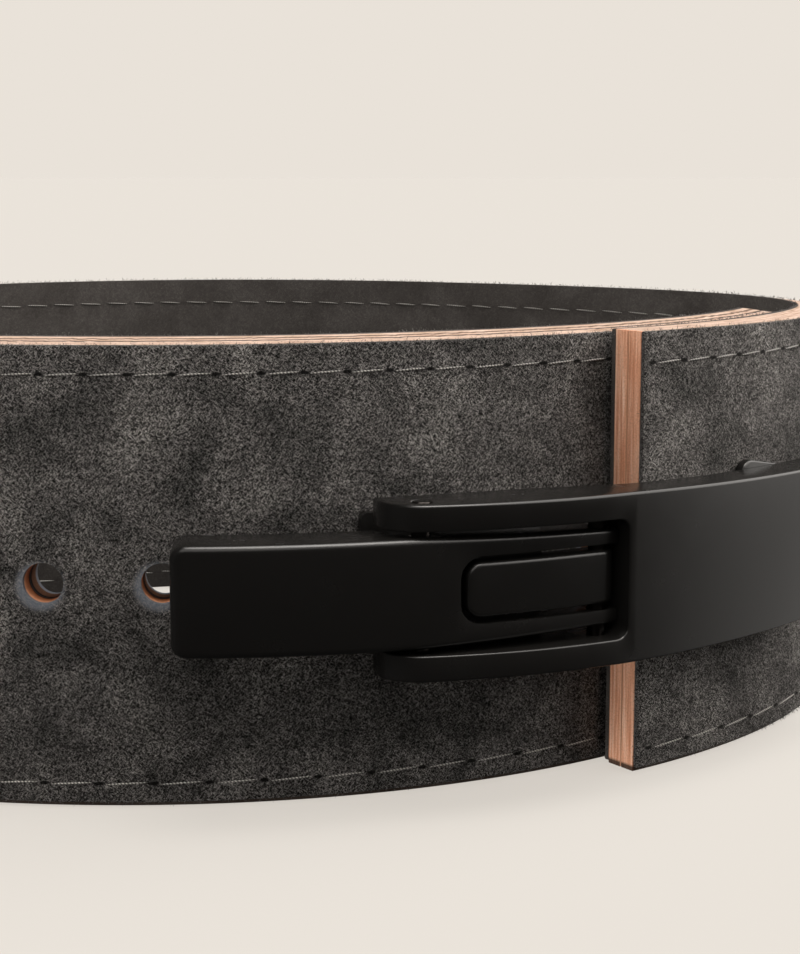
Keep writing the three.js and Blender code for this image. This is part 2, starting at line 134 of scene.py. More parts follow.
# Only the looks have these: broken edges, the steps of bent pieces and how far a cutter passes a face
BROKEN_EDGE = 0.4
PLATE_EDGE = 0.5
SLICE = 1.5
PAST = 5
PIN_PLAY = 0.15
PIN_PROUD = 0.15
KNUCKLE_PLAY = 0.05
SHEET_GAP = 0.03
PLY_INSET = 0.02
GLUE_GAP = 0.01
GLUE_THICKNESS = CLEARANCE + 2 * GLUE_GAP
FIBRE_RADIUS = 0.07
FIBRE_LENGTHS = (0.3, 0.95)
FIBRE_SPREAD = 0.22
FIBRE_LEAN = 0.6
FIBRE_SINK = 0.1
FIBRE_FLOOR = 0.1
FIBRES_PER_MM = 4
FIBRE_SEED = 7
FOCAL_PIXELS = 1930
PHOTO_HEIGHT = 954
SENSOR = 36
CAMERA_PITCH = 9
CAMERA_ASIDE = 0.052
CAMERA_BACK = 0.5168
CAMERA_HEIGHT = 0.1359


# The loop

def support(heading):
    """Distance of the loop's outer face from the middle at a heading, and its first derivative."""
    distance = LOOP_RADIUS
    slope = 0
    for waves, cosine, sine in LOOP_WAVES:
        angle = waves * heading
        distance = distance + LOOP_RADIUS * (cosine * np.cos(angle) + sine * np.sin(angle))
        slope = slope + LOOP_RADIUS * waves * (sine * np.cos(angle) - cosine * np.sin(angle))
    return distance, slope


def arc_length(heading):
    """Length along the loop from heading 0."""
    length = LOOP_RADIUS * heading
    for waves, cosine, sine in LOOP_WAVES:
        angle = waves * heading
        share = (1 - waves * waves) / waves
        length = length + LOOP_RADIUS * share * (cosine * np.sin(angle) - sine * np.cos(angle))
    return length


HEADINGS = np.linspace(-2, 9, 8000)
LENGTHS = arc_length(HEADINGS) - arc_length(CUT_HEADING)


def place(q, out, z):
    """Points of the loop from strap coordinates, about the loop's middle."""
    heading = np.interp(q, LENGTHS, HEADINGS)
    distance, slope = support(heading)
    outward = distance + out
    x = outward * np.sin(heading) + slope * np.cos(heading)
    y = slope * np.sin(heading) - outward * np.cos(heading)
    return np.stack([x, y, z + 0 * x], axis=-1)


def hole_place(count):
    """The place of a hole on the inner turn, counted from the tip."""
    return TIP - TIP_MARGIN - count * HOLE_PITCH


def smoothstep(value, low, high):
    share = np.clip((value - low) / (high - low), 0, 1)
    return share * share * (3 - 2 * share)


def rounded_off(distance, radius):
    """How much a rounded end of this radius takes off at a distance from the end."""
    reach = radius - np.clip(distance, 0, radius)
    return radius - np.sqrt(radius ** 2 - reach ** 2)


def lap_lift(q):
    """How far the strap's outer face lies outside the loop."""
    inwards = smoothstep(q, OVERLAP + LAP_MARGIN, OVERLAP + LAP_MARGIN + LAP_RUN)
    return LAP_LIFT * (1 - inwards)


def rim_rise(q, depth):
    """How far the strap's slanted top edge lies above its nominal height."""
    square = 1 - smoothstep(q, 0, SQUARE_END)
    share = depth / STRAP_THICKNESS
    return RIM_RISE * (share + (SQUARE_LEVEL - share) * square)


def frame_front(q):
    """The front of the buckle's frame, which dips towards the arms' ends."""
    share = np.clip((SLOT_END - q) / (SLOT_END - HOOK_PIN_PLACE), 0, None)
    return PLATE_FRONT + CLEARANCE + FRAME_DEPTH - ARM_DIP * share ** 2


def frame_back(q):
    """The back of the frame, where the arms reach down towards the strap."""
    down = smoothstep(-q, CLEARANCE, ARM_STEP)
    return PLATE_FRONT + CLEARANCE + (ARM_FOOT - PLATE_FRONT - CLEARANCE) * down


LEVER_FRONT = float(frame_front(HOOK_PIN_PLACE)) - LEVER_SET_BACK
LEVER_TIP = HOOK_PIN_PLACE - LEVER_REACH
HINGE_OUT = LEVER_FRONT - KNUCKLE_RADIUS
HOOK_PIN_OUT = float(frame_front(HOOK_PIN_PLACE)) - FRAME_DEPTH / 2
# The hook pin's place in the arms' depth, from their back to their front
PIN_SHARE = float(
    (HOOK_PIN_OUT - frame_back(HOOK_PIN_PLACE)) / (frame_front(HOOK_PIN_PLACE) - frame_back(HOOK_PIN_PLACE))
)


def lever_front(q):
    """The front of the lever, which bends back at the grip."""
    share = np.clip((HOOK_PIN_PLACE - q) / LEVER_REACH, 0, None)
    return LEVER_FRONT - GRIP_DROP * share ** 2


# The hinge pin's middle is known both in the frame and in strap coordinates, which gives the loop's middle
pin_low, pin_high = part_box("hinge_pin")
pin_middle = (np.array(pin_low) + np.array(pin_high)) / 2
LOOP_MIDDLE = pin_middle - place(HINGE_PLACE, HINGE_OUT, MID) * MM
LOOP_MIDDLE[2] = 0


# Making pieces. A piece is made flat, with x along the strap, y inwards and z up, and then wrapped.

def block(q, out, z):
    """A box between (low, high) pairs in strap coordinates."""
    piece = bmesh.new()
    bmesh.ops.create_cube(piece, size=1)
    spans = (q, (-out[1], -out[0]), z)
    size = [high - low for low, high in spans]
    middle = [(high + low) / 2 for low, high in spans]
    bmesh.ops.scale(piece, vec=size, verts=piece.verts)
    bmesh.ops.translate(piece, vec=middle, verts=piece.verts)
    return piece


def bar(axis, middle, radius, length, sides=40):
    """A round bar along the strap's 'out' or 'up' axis, with its middle at (q, out, z)."""
    piece = bmesh.new()
    turn = Matrix.Rotation(math.pi / 2, 4, "X") if axis == "out" else Matrix.Identity(4)
    place_at = Matrix.Translation((middle[0], -middle[1], middle[2]))
    bmesh.ops.create_cone(
        piece, cap_ends=True, segments=sides, radius1=radius, radius2=radius, depth=length,
        matrix=place_at @ turn,
    )
    return piece


def round_edges(piece, radius, segments, choose):
    """Bevels the edges that choose picks by their middle and direction."""
    edges = []
    for edge in piece.edges:
        start, end = (vert.co for vert in edge.verts)
        if choose((start + end) / 2, (end - start).normalized()):
            edges.append(edge)
    bmesh.ops.bevel(
        piece, geom=edges, offset=radius, offset_type="OFFSET", affect="EDGES",
        segments=segments, profile=0.5, material=-1, clamp_overlap=True,
    )


def slice_along(piece, step, axis=0):
    """Cuts a piece into slices across an axis, so that it can bend."""
    low = min(vert.co[axis] for vert in piece.verts)
    high = max(vert.co[axis] for vert in piece.verts)
    normal = Vector((0, 0, 0))
    normal[axis] = 1
    count = math.ceil((high - low) / step)
    for i in range(1, count):
        point = normal * (low + (high - low) * i / count)
        geometry = piece.verts[:] + piece.edges[:] + piece.faces[:]
        bmesh.ops.bisect_plane(piece, geom=geometry, dist=1e-5, plane_co=point, plane_no=normal)


def join(pieces):
    """One piece of several."""
    whole = pieces[0]
    for piece in pieces[1:]:
        mesh = bpy.data.meshes.new("joined")
        piece.to_mesh(mesh)
        piece.free()
        whole.from_mesh(mesh)
        bpy.data.meshes.remove(mesh)
    return whole


def scratch_object(piece):
    mesh = bpy.data.meshes.new("scratch")
    piece.to_mesh(mesh)
    piece.free()
    obj = bpy.data.objects.new("scratch", mesh)
    bpy.context.scene.collection.objects.link(obj)
    return obj


def with_modifiers(piece, *modifiers):
    """The piece after modifiers, each given as (type, settings)."""
    obj = scratch_object(piece)
    for kind, settings in modifiers:
        modifier = obj.modifiers.new(kind.title(), kind)
        for name, value in settings.items():
            setattr(modifier, name, value)
    bpy.context.view_layer.update()
    evaluated = obj.evaluated_get(bpy.context.evaluated_depsgraph_get())
    result = bmesh.new()
    result.from_mesh(evaluated.data)
    mesh = obj.data
    bpy.data.objects.remove(obj)
    bpy.data.meshes.remove(mesh)
    return result


def cut(piece, cutters):
    """The piece without its cutters, which may not overlap each other."""
    tool = scratch_object(join(cutters))
    settings = {"operation": "DIFFERENCE", "object": tool, "solver": "EXACT"}
    result = with_modifiers(piece, ("BOOLEAN", settings))
    mesh = tool.data
    bpy.data.objects.remove(tool)
    bpy.data.meshes.remove(mesh)
    return result


def softened(piece, width, segments=2):
    """The piece with its sharp edges broken."""
    bevel = {
        "width": width, "segments": segments, "limit_method": "ANGLE", "angle_limit": math.radians(40),
        "harden_normals": False,
    }
    return with_modifiers(piece, ("BEVEL", bevel))


def wrapped(name, piece, material, shape=None, smooth=35, body="belt"):
    """Makes the finished object. shape moves (q, out, z) before the piece is wrapped round the loop."""
    bmesh.ops.triangulate(piece, faces=[face for face in piece.faces if len(face.verts) > 4])
    mesh = bpy.data.meshes.new(name)
    piece.to_mesh(mesh)
    piece.free()
    flat = np.zeros(len(mesh.vertices) * 3)
    mesh.vertices.foreach_get("co", flat)
    flat = flat.reshape(-1, 3) * (1, -1, 1)
    if shape:
        flat = np.stack(shape(*flat.T), axis=-1)
    strap = mesh.attributes.new("strap", "FLOAT_VECTOR", "POINT")
    strap.data.foreach_set("vector", flat.ravel())
    points = place(*flat.T) * MM + LOOP_MIDDLE
    mesh.vertices.foreach_set("co", points.ravel())
    mesh.shade_smooth()
    mesh.set_sharp_from_angle(angle=math.radians(smooth))
    mesh.materials.append(material)
    obj = bpy.data.objects.new(name, mesh)
    bpy.context.scene.collection.objects.link(obj)
    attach(obj, body)
    return obj


# Materials

def colour(code):
    """Linear RGBA from an sRGB hex value."""
    channels = [int(code[i:i + 2], 16) / 255 for i in (0, 2, 4)]
    linear = [c / 12.92 if c <= 0.04045 else ((c + 0.055) / 1.055) ** 2.4 for c in channels]
    return (*linear, 1)


def add(tree, kind, inputs=None, stops=None, **settings):
    """Adds a node. inputs takes values or sockets to link; stops are a colour ramp's."""
    node = tree.nodes.new(kind)
    for name, value in settings.items():
        setattr(node, name, value)
    if stops:
        ramp = node.color_ramp
        for position, value in stops[2:]:
            ramp.elements.new(position)
        for element, (position, value) in zip(ramp.elements, sorted(stops)):
            element.position = position
            element.color = value
    for name, value in (inputs or {}).items():
        if isinstance(value, bpy.types.NodeSocket):
            tree.links.new(value, node.inputs[name])
        else:
            node.inputs[name].default_value = value
    return node


def new_material(name):
    material = bpy.data.materials.new(name)
    material.use_nodes = True
    tree = material.node_tree
    tree.nodes.clear()
    output = add(tree, "ShaderNodeOutputMaterial")
    return material, tree, output


def grey(level):
    return (level, level, level, 1)


def row_distance(tree, along, first, pitch, height, stretch=1):
    """Distance in mm from the nearest of the points that repeat along the strap at a height."""
    from_first = add(tree, "ShaderNodeMath", {0: along.outputs["X"], 1: first}, operation="SUBTRACT")
    beside = add(tree, "ShaderNodeMath", {0: from_first.outputs[0], 1: pitch / 2}, operation="PINGPONG")
    above = add(tree, "ShaderNodeMath", {0: along.outputs["Z"], 1: height}, operation="SUBTRACT")
    upright = add(tree, "ShaderNodeMath", {0: above.outputs[0], 1: stretch}, operation="MULTIPLY")
    offset = add(tree, "ShaderNodeCombineXYZ", {"X": beside.outputs[0], "Y": upright.outputs[0]})
    return add(tree, "ShaderNodeVectorMath", {0: offset.outputs[0]}, operation="LENGTH").outputs["Value"]


def strokes(tree, place_on, angle, scale):
    """Short curling fibres that lie at an angle to the strap."""
    lie = add(tree, "ShaderNodeMapping", {
        "Vector": place_on, "Rotation": (0, math.radians(angle), 0), "Scale": (4.5, 1, 1),
    }, vector_type="TEXTURE")
    return add(tree, "ShaderNodeTexNoise", {
        "Vector": lie.outputs["Vector"], "Scale": scale, "Detail": 1, "Roughness": 0.5, "Distortion": 1.3,
    }).outputs["Fac"]


def napped_suede(name, tones, depth):
    """Split leather dyed charcoal and sanded to a nap. The nap lies in clouds, and its fibres clump."""
    material, tree, output = new_material(name)
    place_on = add(tree, "ShaderNodeAttribute", attribute_name="strap").outputs["Vector"]
    along = add(tree, "ShaderNodeSeparateXYZ", {"Vector": place_on})
    # The lie of the nap and hand marks, 15 to 40 mm across
    cloud_place = add(tree, "ShaderNodeMapping", {"Vector": place_on, "Location": (64, 0, 31)})
    clouds = add(tree, "ShaderNodeTexNoise", {
        "Vector": cloud_place.outputs["Vector"], "Scale": 1 / 18, "Detail": 5, "Roughness": 0.6,
        "Distortion": 0.6,
    }).outputs["Fac"]
    # Fibres about 0.15 mm thick and 0.7 mm long, in two directions that cross
    fibres = add(tree, "ShaderNodeMath", {
        0: strokes(tree, place_on, 40, 6), 1: strokes(tree, place_on, -50, 6),
    }, operation="MAXIMUM").outputs[0]
    tufts = add(tree, "ShaderNodeTexNoise", {
        "Vector": place_on, "Scale": 0.5, "Detail": 3, "Roughness": 0.6,
    }).outputs["Fac"]
    dark, middle, light = tones
    base = add(tree, "ShaderNodeValToRGB", {"Fac": clouds}, stops=(
        (0.35, colour(dark)), (0.68, colour(light)), (0.5, colour(middle)),
    )).outputs["Color"]
    fleck = add(tree, "ShaderNodeValToRGB", {"Fac": fibres}, stops=(
        (0.48, grey(1 - 0.98 * depth)), (0.66, grey(1 + 4.2 * depth)), (0.57, grey(1 - 0.45 * depth)),
    )).outputs["Color"]
    thickness = add(tree, "ShaderNodeMapRange", {
        "Value": tufts, "From Min": 0.3, "From Max": 0.7,
        "To Min": 1 - 0.15 * depth, "To Max": 1 + 0.15 * depth,
    }).outputs["Result"]
    tint = base
    for pattern in (fleck, thickness):
        tint = add(tree, "ShaderNodeMix", {
            "Factor": 1.0, 6: tint, 7: pattern,
        }, data_type="RGBA", blend_type="MULTIPLY").outputs[2]
    # The punch pressed a smooth bluish ring round each hole, mostly below it on its left
    distance = row_distance(tree, along, TIP - TIP_MARGIN - 0.7, HOLE_PITCH, MID - 0.8)
    uneven = add(tree, "ShaderNodeMath", {0: fibres, 1: 4.0, 2: distance}, operation="MULTIPLY_ADD")
    ring = add(tree, "ShaderNodeMapRange", {
        "Value": uneven.outputs[0], "From Min": HOLE_DIAMETER / 2 + 3.4, "From Max": HOLE_DIAMETER / 2 + 2.2,
        "To Min": 0.0, "To Max": 0.55,
    }).outputs["Result"]
    punched = add(tree, "ShaderNodeMath", {
        0: along.outputs["X"], 1: hole_place(HOLE_COUNT - 1) - HOLE_PITCH / 2,
    }, operation="GREATER_THAN").outputs[0]
    pressed = add(tree, "ShaderNodeMath", {0: ring, 1: punched}, operation="MULTIPLY").outputs[0]
    tint = add(tree, "ShaderNodeMix", {
        "Factor": pressed, 6: tint, 7: colour("858b96"),
    }, data_type="RGBA").outputs[2]
    # The thread pulls the nap into a dimple at each needle hole, painted dark as the shade in the hole
    for row in (TOP_STITCHES, LOWER_STITCHES):
        dimple = row_distance(tree, along, row["start"], row["pitch"], row["height"], 2.4)
        needle_hole_shade = add(tree, "ShaderNodeMapRange", {
            "Value": dimple, "From Min": 0.75, "From Max": 1.35, "To Min": 1 - 0.95 * depth, "To Max": 1.0,
        }).outputs["Result"]
        tint = add(tree, "ShaderNodeMix", {
            "Factor": 1.0, 6: tint, 7: needle_hole_shade,
        }, data_type="RGBA", blend_type="MULTIPLY").outputs[2]
    bump = add(tree, "ShaderNodeBump", {"Height": fibres, "Strength": 0.8 * depth, "Distance": 0.0005})
    shader = add(tree, "ShaderNodeBsdfPrincipled", {
        "Base Color": tint, "Roughness": 0.95, "Specular IOR Level": 0.1, "Sheen Weight": 0.08,
        "Sheen Roughness": 0.5, "Sheen Tint": colour("b5b0a8"), "Normal": bump.outputs["Normal"],
    })
    tree.links.new(shader.outputs[0], output.inputs["Surface"])
    return material


def cut_leather():
    """Vegetable-tanned leather, undyed, with raw cut edges. Its fibres run in streaks along the sheet."""
    material, tree, output = new_material("raw edge of vegetable-tanned leather")
    place_on = add(tree, "ShaderNodeAttribute", attribute_name="strap").outputs["Vector"]
    along = add(tree, "ShaderNodeSeparateXYZ", {"Vector": place_on})
    # Streaks 0.6 mm thick through the sheet and several millimetres long
    streak_place = add(tree, "ShaderNodeMapping", {"Vector": place_on, "Scale": (0.09, 1.5, 0.05)})
    streaks = add(tree, "ShaderNodeTexNoise", {
        "Vector": streak_place.outputs["Vector"], "Scale": 1, "Detail": 4, "Roughness": 0.65,
    }).outputs["Fac"]
    fibres = add(tree, "ShaderNodeTexNoise", {
        "Vector": place_on, "Scale": 2.2, "Detail": 3, "Roughness": 0.7,
    }).outputs["Fac"]
    rim = add(tree, "ShaderNodeValToRGB", {"Fac": streaks}, stops=(
        (0.32, colour("94775f")), (0.68, colour("d9c3b4")), (0.5, colour("bfa595")),
    )).outputs["Color"]
    end = add(tree, "ShaderNodeValToRGB", {"Fac": streaks}, stops=(
        (0.32, colour("c27b57")), (0.68, colour("f0cab0")), (0.5, colour("dfa586")),
    )).outputs["Color"]
    # Thin dark lines where each ply's own skin shows on the rim
    wobble = add(tree, "ShaderNodeTexNoise", {
        "W": along.outputs["X"], "Scale": 0.4, "Detail": 3,
    }, noise_dimensions="1D").outputs["Fac"]
    for seam_depth, seam_tint in ((4.8, "2a2522"), (7.2, "54402f")):
        offset = add(tree, "ShaderNodeMath", {0: along.outputs["Y"], 1: seam_depth}, operation="ADD")
        waved = add(tree, "ShaderNodeMath", {
            0: wobble, 1: 1.6, 2: offset.outputs[0],
        }, operation="MULTIPLY_ADD")
        centred = add(tree, "ShaderNodeMath", {0: waved.outputs[0], 1: 0.8}, operation="SUBTRACT")
        beside = add(tree, "ShaderNodeMath", {0: centred.outputs[0]}, operation="ABSOLUTE")
        seam = add(tree, "ShaderNodeMapRange", {
            "Value": beside.outputs[0], "From Min": 0.35, "From Max": 0.65, "To Min": 0.9, "To Max": 0.0,
        }).outputs["Result"]
        rim = add(tree, "ShaderNodeMix", {
            "Factor": seam, 6: rim, 7: colour(seam_tint),
        }, data_type="RGBA").outputs[2]
    at_end = add(tree, "ShaderNodeMapRange", {
        "Value": along.outputs["X"], "From Min": 0.3, "From Max": 0.7, "To Min": 1.0, "To Max": 0.0,
    }).outputs["Result"]
    tint = add(tree, "ShaderNodeMix", {"Factor": at_end, 6: rim, 7: end}, data_type="RGBA").outputs[2]
    # Painted shade in the punched holes: the leather darkens from tan at the outer face to brown deeper in
    distance = row_distance(tree, along, TIP - TIP_MARGIN, HOLE_PITCH, MID)
    in_hole = add(tree, "ShaderNodeMath", {
        0: distance, 1: HOLE_DIAMETER / 2 + 0.3,
    }, operation="LESS_THAN").outputs[0]
    depth = add(tree, "ShaderNodeMapRange", {
        "Value": along.outputs["Y"], "From Min": -STRAP_THICKNESS, "From Max": 0.0,
    }).outputs["Result"]
    # The ramp also has a black band where the plies meet
    hole_shade = add(tree, "ShaderNodeValToRGB", {"Fac": depth}, stops=(
        (0.0, colour("5c3d2b")), (1.0, colour("f0b48c")), (0.38, colour("6e4831")), (0.42, colour("0f0b09")),
        (0.54, colour("0f0b09")), (0.6, colour("c27a50")),
    )).outputs["Color"]
    tint = add(tree, "ShaderNodeMix", {"Factor": in_hole, 6: tint, 7: hole_shade}, data_type="RGBA").outputs[2]
    # Painted shade: the rim's lowest 1.6 mm is near black, a painted contact shadow on the floor
    painted_floor_shadow = add(tree, "ShaderNodeMapRange", {
        "Value": along.outputs["Z"], "From Min": 1.0, "From Max": 1.6, "To Min": 0.9, "To Max": 0.0,
    }).outputs["Result"]
    tint = add(tree, "ShaderNodeMix", {
        "Factor": painted_floor_shadow, 6: tint, 7: colour("231d19"),
    }, data_type="RGBA").outputs[2]
    mottle = add(tree, "ShaderNodeValToRGB", {"Fac": fibres}, stops=(
        (0.3, grey(0.78)), (0.7, grey(1.12)), (0.5, grey(1)),
    )).outputs["Color"]
    mixed = add(tree, "ShaderNodeMix", {
        "Factor": 1.0, 6: tint, 7: mottle,
    }, data_type="RGBA", blend_type="MULTIPLY").outputs[2]
    bump = add(tree, "ShaderNodeBump", {"Height": fibres, "Strength": 0.7, "Distance": 0.0003})
    shader = add(tree, "ShaderNodeBsdfPrincipled", {
        "Base Color": mixed, "Roughness": 0.8, "Specular IOR Level": 0.2,
        "Normal": bump.outputs["Normal"],
    })
    tree.links.new(shader.outputs[0], output.inputs["Surface"])
    return material


def coated_steel():
    """Cast steel under a matte black powder coat: a faint orange peel, and satin where light grazes it."""
    material, tree, output = new_material("matte black powder coat")
    place_on = add(tree, "ShaderNodeAttribute", attribute_name="strap").outputs["Vector"]
    peel = add(tree, "ShaderNodeTexNoise", {
        "Vector": place_on, "Scale": 2.2, "Detail": 2, "Roughness": 0.5,
    }).outputs["Fac"]
    wear = add(tree, "ShaderNodeTexNoise", {
        "Vector": place_on, "Scale": 0.12, "Detail": 3, "Roughness": 0.55,
    }).outputs["Fac"]
    roughness = add(tree, "ShaderNodeMapRange", {
        "Value": wear, "From Min": 0.3, "From Max": 0.7, "To Min": 0.23, "To Max": 0.28,
    }).outputs["Result"]
    bump = add(tree, "ShaderNodeBump", {"Height": peel, "Strength": 0.25, "Distance": 0.00005})
    shader = add(tree, "ShaderNodeBsdfPrincipled", {
        "Base Color": colour("151413"), "Roughness": roughness, "Specular IOR Level": 0.5,
        "Normal": bump.outputs["Normal"],
    })
    tree.links.new(shader.outputs[0], output.inputs["Surface"])
    return material


def ground_steel():
    """Ground steel pins, black with oil."""
    material, tree, output = new_material("oiled ground steel")
    place_on = add(tree, "ShaderNodeTexCoord").outputs["Object"]
    grinding = add(tree, "ShaderNodeMapping", {"Vector": place_on, "Scale": (300, 300, 9000)})
    rings = add(tree, "ShaderNodeTexNoise", {
        "Vector": grinding.outputs["Vector"], "Scale": 1, "Detail": 2,
    }).outputs["Fac"]
    bump = add(tree, "ShaderNodeBump", {"Height": rings, "Strength": 0.2, "Distance": 0.00003})
    shader = add(tree, "ShaderNodeBsdfPrincipled", {
        "Base Color": colour("34312f"), "Metallic": 1.0, "Roughness": 0.22,
        "Normal": bump.outputs["Normal"],
    })
    tree.links.new(shader.outputs[0], output.inputs["Surface"])
    return material


def twisted_thread():
    """Waxed nylon thread, dark grey, with its strands' twist across it as painted highlights and shade."""
    material, tree, output = new_material("twisted nylon thread")
    place_on = add(tree, "ShaderNodeAttribute", attribute_name="strap").outputs["Vector"]
    lie = add(tree, "ShaderNodeMapping", {"Vector": place_on, "Rotation": (0, math.radians(35), 0)})
    # The strands cross the thread every 0.7 mm
    strands = add(tree, "ShaderNodeTexWave", {
        "Vector": lie.outputs["Vector"], "Scale": 1.4 / math.tau * 2.2, "Distortion": 0.6, "Detail": 1,
    }).outputs["Fac"]
    # Pale grey on each strand is a painted highlight, and dark grey between the strands painted shade
    tint = add(tree, "ShaderNodeValToRGB", {"Fac": strands}, stops=(
        (0.0, colour("4c4a47")), (1.0, colour("b4b1ac")),
    )).outputs["Color"]
    bump = add(tree, "ShaderNodeBump", {"Height": strands, "Strength": 0.7, "Distance": 0.0003})
    shader = add(tree, "ShaderNodeBsdfPrincipled", {
        "Base Color": tint, "Roughness": 0.6, "Specular IOR Level": 0.4,
        "Normal": bump.outputs["Normal"],
    })
    tree.links.new(shader.outputs[0], output.inputs["Surface"])
    return material


def dried_glue():
    """The brown contact glue between the two plies."""
    material, tree, output = new_material("contact glue")
    place_on = add(tree, "ShaderNodeAttribute", attribute_name="strap").outputs["Vector"]
    along = add(tree, "ShaderNodeSeparateXYZ", {"Vector": place_on})
    patches = add(tree, "ShaderNodeTexNoise", {"Vector": place_on, "Scale": 0.35, "Detail": 3})
    dark = add(tree, "ShaderNodeValToRGB", {"Fac": patches.outputs["Fac"]}, stops=(
        (0.35, colour("2a1a11")), (0.65, colour("5c3e2b")),
    )).outputs["Color"]
    # It was cut clean with the end of the strap
    at_end = add(tree, "ShaderNodeMapRange", {
        "Value": along.outputs["X"], "From Min": 0.1, "From Max": 0.4, "To Min": 1.0, "To Max": 0.0,
    }).outputs["Result"]
    tint = add(tree, "ShaderNodeMix", {
        "Factor": at_end, 6: dark, 7: colour("c08a68"),
    }, data_type="RGBA").outputs[2]
    shader = add(tree, "ShaderNodeBsdfPrincipled", {"Base Color": tint, "Roughness": 0.6})
    tree.links.new(shader.outputs[0], output.inputs["Surface"])
    return material


def lit_table():
    """Pale translucent plastic, lit from below as well, which leaves only soft shadows."""
    material, tree, output = new_material("translucent table")
    shader = add(tree, "ShaderNodeBsdfPrincipled", {
        "Base Color": colour("686765"), "Roughness": 0.9, "Specular IOR Level": 0.0,
        "Emission Color": colour("e9e2d9"), "Emission Strength": 0.7,
    })
    tree.links.new(shader.outputs[0], output.inputs["Surface"])
    return material


suede = napped_suede("charcoal napped suede", ("302f2e", "434140", "565452"), 1)
lining = napped_suede("charcoal suede with a close nap", ("3a3735", "413e3c", "494644"), 0.15)
leather = cut_leather()
black = coated_steel()
steel = ground_steel()
thread = twisted_thread()
glue = dried_glue()
table = lit_table()


# The strap

def strap_shape(q, out, z):
    """The strap's slanted rim and the lap that carries its buckle end outside its tip."""
    upper = smoothstep(z, MID, STRAP_HEIGHT - 4)
    return q, out + lap_lift(q), z + rim_rise(q, -out) * upper


def strap_layer(name, depth, thickness, hem, rim, material, edge):
    layer = block((0, TIP), (-depth - thickness, -depth), (hem, STRAP_HEIGHT - rim))
    round_edges(
        layer, TIP_CORNER, 12,
        lambda middle, along: abs(along.y) > 0.9 and middle.x > TIP - 1,
    )
    layer = softened(layer, edge)
    slice_along(layer, 2)
    cutters = []
    for count in range(HOLE_COUNT):
        q = hole_place(count)
        cutters.append(bar("out", (q, -STRAP_THICKNESS / 2, MID), HOLE_DIAMETER / 2, 3 * STRAP_THICKNESS))
    return wrapped(name, cut(layer, cutters), material, strap_shape)


SKIN = SUEDE_THICKNESS + CLEARANCE - SHEET_GAP
PLY = CORE_THICKNESS - PLY_INSET
# Node, depth, thickness, hem, rim, material, slot and width of the broken edge
plies = (
    ("suede_outer", 0, SKIN, 1.1, 0, suede, "suede", 0.35),
    ("core_outer", SUEDE_THICKNESS + CLEARANCE, PLY, 0, 0, leather, "leather", 0.2),
    ("core_inner", STRAP_THICKNESS - SUEDE_THICKNESS - CLEARANCE - PLY, PLY, 0, 0, leather, "leather", 0.2),
    ("suede_inner", STRAP_THICKNESS - SKIN, SKIN, 0.5, 0, lining, "suede", 0.35),
)
for node, depth, thickness, hem, rim, material, slot, edge in plies:
    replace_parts(strap_layer("strap_" + node, depth, thickness, hem, rim, material, edge), node)
strap_layer(
    "strap_glue_line", SUEDE_THICKNESS + CLEARANCE + PLY + GLUE_GAP, GLUE_THICKNESS, 0.2, 0.25, glue,
    0.03,
)


def fuzz(name, edges, per_mm, seed):
    """Loose fibres along the suede's edges, as slim spikes. An edge is (start, end, way) in x, y and z."""
    rng = np.random.default_rng(seed)
    roots, ways = [], []
    for start, end, way in edges:
        start, end = np.array(start), np.array(end)
        count = int(np.linalg.norm(end - start) * per_mm)
        roots.append(start + rng.random((count, 1)) * (end - start) + rng.normal(0, FIBRE_SPREAD, (count, 3)))
        ways.append(way + rng.normal(0, FIBRE_LEAN, (count, 3)))
    roots, ways = np.concatenate(roots), np.concatenate(ways)
    ways /= np.linalg.norm(ways, axis=1, keepdims=True)
    beside = np.cross(ways, (0.3, 0.5, 0.8))
    beside /= np.linalg.norm(beside, axis=1, keepdims=True)
    above = np.cross(ways, beside)
    corners = [
        roots + FIBRE_RADIUS * (math.cos(turn) * beside + math.sin(turn) * above)
        for turn in (0, math.tau / 3, 2 * math.tau / 3)
    ]
    corners.append(roots + ways * rng.uniform(*FIBRE_LENGTHS, (len(roots), 1)))
    points = np.stack(corners, axis=1).reshape(-1, 3)
    points[:, 2] = np.maximum(points[:, 2], FIBRE_FLOOR)
    spike = np.array(((0, 2, 1), (0, 1, 3), (1, 2, 3), (2, 0, 3)))
    faces = (spike + 4 * np.arange(len(roots))[:, None, None]).reshape(-1, 3)
    mesh = bpy.data.meshes.new("fibres")
    mesh.from_pydata(points.tolist(), [], faces.tolist())
    piece = bmesh.new()
    piece.from_mesh(mesh)
    bpy.data.meshes.remove(mesh)
    wrapped(name, piece, suede, strap_shape)


far = TIP - TIP_CORNER
top = STRAP_HEIGHT - FIBRE_SINK
outer, inner = SUEDE_THICKNESS / 2, STRAP_THICKNESS - SUEDE_THICKNESS / 2
# Both top edges, the outer lower edge and both sides of the cut end
fuzz("suede_fuzz", (
    ((0, outer, top), (far, outer, top), (0, -0.4, 1)),
    ((0, inner, top), (far, inner, top), (0, 0.4, 1)),
    ((0, 0.3, 1.3), (far, 0.3, 1.3), (0, -0.8, -1)),
    ((0, outer, 2), (0, outer, STRAP_HEIGHT), (-1, -0.4, 0)),
    ((0, inner, 2), (0, inner, STRAP_HEIGHT), (-1, 0.4, 0)),
), FIBRES_PER_MM, FIBRE_SEED)


# The buckle

